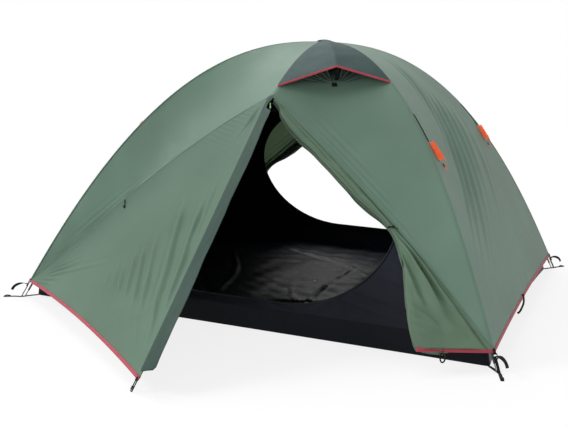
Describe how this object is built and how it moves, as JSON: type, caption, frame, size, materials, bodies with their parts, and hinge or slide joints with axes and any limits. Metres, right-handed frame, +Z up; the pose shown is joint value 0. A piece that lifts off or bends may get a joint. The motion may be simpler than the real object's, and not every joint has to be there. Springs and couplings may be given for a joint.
{
  "type": "camping tent",
  "caption": "Dome tent on two crossed poles: flysheet with a zipped vestibule and tied-back door at each end over a dark inner tent with D-shaped doorways.",
  "frame": {"origin": "on the ground under the peak, in the middle of the groundsheet", "axes": "+X to the right of the front door seen from outside, -Y out of the front door, +Z up"},
  "size_m": [2.3201, 3.4962, 1.2177],
  "materials": {
    "fly": "coated plain weave",
    "slate": "coated plain weave",
    "binding": "woven tape",
    "webbing": "ribbed webbing",
    "plastic": "moulded",
    "puller": "moulded",
    "cord": "braided",
    "pole": "satin",
    "floor": "coated, heavy",
    "inner": "breathable, fine weave"
  },
  "bodies": {
    "tent": {"corner_strap_front_left": "webbing", "corner_strap_front_right": "webbing", "corner_strap_rear_left": "webbing", "corner_strap_rear_right": "webbing", "fly_door_front": "fly", "fly_door_rear": "fly", "fly_face_front": "fly", "fly_face_rear": "fly", "fly_hem_binding_left": "binding", "fly_hem_binding_right": "binding", "fly_hood_front": "slate", "fly_hood_rear": "slate", "fly_side_panel_left": "fly", "fly_side_panel_right": "fly", "fly_vestibule_panel_front": "fly", "fly_vestibule_panel_rear": "fly", "groundsheet": "floor", "inner_wall_front": "inner", "inner_wall_left": "inner", "inner_wall_rear": "inner", "inner_wall_right": "inner", "pole_lower_section_1": "pole", "pole_lower_section_2": "pole", "pole_lower_section_3": "pole", "pole_lower_section_4": "pole", "pole_lower_section_5": "pole", "pole_lower_section_6": "pole", "pole_lower_section_7": "pole", "pole_upper_section_1": "pole", "pole_upper_section_2": "pole", "pole_upper_section_3": "pole", "pole_upper_section_4": "pole", "pole_upper_section_5": "pole", "pole_upper_section_6": "pole", "pole_upper_section_7": "pole"},
    "storm_flap_front": {"fly_storm_flap_front": "slate"},
    "zip_slider_front": {"zip_slider_front": "plastic"},
    "zip_puller_front": {"zip_puller_front": "puller"},
    "hood_strut_front": {"hood_strut_front": "webbing"},
    "door_toggle_front": {"door_toggle_front": "plastic"},
    "peg_loop_front": {"peg_loop_front": "webbing"},
    "storm_flap_rear": {"fly_storm_flap_rear": "slate"},
    "zip_slider_rear": {"zip_slider_rear": "plastic"},
    "zip_puller_rear": {"zip_puller_rear": "puller"},
    "hood_strut_rear": {"hood_strut_rear": "webbing"},
    "door_toggle_rear": {"door_toggle_rear": "plastic"},
    "peg_loop_rear": {"peg_loop_rear": "webbing"},
    "guyline_front_right": {"guy_loop_front_right": "webbing", "guyline_hank_front_right": "cord"},
    "buckle_front_right": {"strap_buckle_front_right": "plastic"},
    "guyline_rear_right": {"guy_loop_rear_right": "webbing", "guyline_hank_rear_right": "cord"},
    "buckle_rear_right": {"strap_buckle_rear_right": "plastic"},
    "guyline_rear_left": {"guy_loop_rear_left": "webbing", "guyline_hank_rear_left": "cord"},
    "buckle_rear_left": {"strap_buckle_rear_left": "plastic"},
    "guyline_front_left": {"guy_loop_front_left": "webbing", "guyline_hank_front_left": "cord"},
    "buckle_front_left": {"strap_buckle_front_left": "plastic"}
  },
  "joints": [
    {"name": "storm_flap_front_fold", "type": "hinge", "parent": "tent", "child": "storm_flap_front", "pos_m": [-0.01618, -0.6555, 0.96401], "axis": [0, -0.758, -0.6523], "range_deg": [0, 150]},
    {"name": "zip_slider_front_run", "type": "slide", "parent": "tent", "child": "zip_slider_front", "axis": [0, -0.758, -0.6523], "range_m": [0, 1.35]},
    {"name": "zip_puller_front_swing", "type": "hinge", "parent": "zip_slider_front", "child": "zip_puller_front", "pos_m": [0.00803, -0.68149, 0.94362], "axis": [1, 0, 0], "range_deg": [-45, 120]},
    {"name": "hood_strut_front_fold", "type": "hinge", "parent": "tent", "child": "hood_strut_front", "pos_m": [0.2104, -0.41092, 1.04351], "axis": [0.9176, 0.3976, 0], "range_deg": [0, 70]},
    {"name": "door_toggle_front_turn", "type": "hinge", "parent": "tent", "child": "door_toggle_front", "pos_m": [0.60387, -0.80143, 0.48503], "axis": [0.4201, -0.592, 0.6878], "range_deg": [-90, 90]},
    {"name": "peg_loop_front_swing", "type": "hinge", "parent": "tent", "child": "peg_loop_front", "pos_m": [-0.01437, -1.72874, 0.03886], "axis": [-0.8028, 0.5959, 0.0225], "range_deg": [0, 80]},
    {"name": "storm_flap_rear_fold", "type": "hinge", "parent": "tent", "child": "storm_flap_rear", "pos_m": [0.01618, 0.6555, 0.96401], "axis": [0, 0.758, -0.6523], "range_deg": [0, 150]},
    {"name": "zip_slider_rear_run", "type": "slide", "parent": "tent", "child": "zip_slider_rear", "axis": [0, 0.758, -0.6523], "range_m": [0, 1.35]},
    {"name": "zip_puller_rear_swing", "type": "hinge", "parent": "zip_slider_rear", "child": "zip_puller_rear", "pos_m": [-0.00803, 0.68149, 0.94362], "axis": [-1, 0, 0], "range_deg": [-45, 120]},
    {"name": "hood_strut_rear_fold", "type": "hinge", "parent": "tent", "child": "hood_strut_rear", "pos_m": [-0.2104, 0.41092, 1.04351], "axis": [-0.9176, -0.3976, 0], "range_deg": [0, 70]},
    {"name": "door_toggle_rear_turn", "type": "hinge", "parent": "tent", "child": "door_toggle_rear", "pos_m": [-0.60387, 0.80143, 0.48503], "axis": [-0.4201, 0.592, 0.6878], "range_deg": [-90, 90]},
    {"name": "peg_loop_rear_swing", "type": "hinge", "parent": "tent", "child": "peg_loop_rear", "pos_m": [0.01437, 1.72874, 0.03886], "axis": [0.8028, -0.5959, 0.0225], "range_deg": [0, 80]},
    {"name": "guyline_front_right_lift", "type": "hinge", "parent": "tent", "child": "guyline_front_right", "pos_m": [0.59498, -0.50161, 0.91985], "axis": [0, -1, 0], "range_deg": [0, 140]},
    {"name": "buckle_front_right_tilt", "type": "hinge", "parent": "tent", "child": "buckle_front_right", "pos_m": [1.07124, -0.93977, 0.06695], "axis": [-0.6595, -0.7517, 0], "range_deg": [0, 20]},
    {"name": "guyline_rear_right_lift", "type": "hinge", "parent": "tent", "child": "guyline_rear_right", "pos_m": [0.59498, 0.50161, 0.91985], "axis": [0, -1, 0], "range_deg": [0, 140]},
    {"name": "buckle_rear_right_tilt", "type": "hinge", "parent": "tent", "child": "buckle_rear_right", "pos_m": [1.07124, 0.93977, 0.06695], "axis": [0.6595, -0.7517, 0], "range_deg": [0, 20]},
    {"name": "guyline_rear_left_lift", "type": "hinge", "parent": "tent", "child": "guyline_rear_left", "pos_m": [-0.59498, 0.50161, 0.91985], "axis": [0, 1, 0], "range_deg": [0, 140]},
    {"name": "buckle_rear_left_tilt", "type": "hinge", "parent": "tent", "child": "buckle_rear_left", "pos_m": [-1.07124, 0.93977, 0.06695], "axis": [0.6595, 0.7517, 0], "range_deg": [0, 20]},
    {"name": "guyline_front_left_lift", "type": "hinge", "parent": "tent", "child": "guyline_front_left", "pos_m": [-0.59498, -0.50161, 0.91985], "axis": [0, 1, 0], "range_deg": [0, 140]},
    {"name": "buckle_front_left_tilt", "type": "hinge", "parent": "tent", "child": "buckle_front_left", "pos_m": [-1.07124, -0.93977, 0.06695], "axis": [-0.6595, 0.7517, 0], "range_deg": [0, 20]}
  ]
}
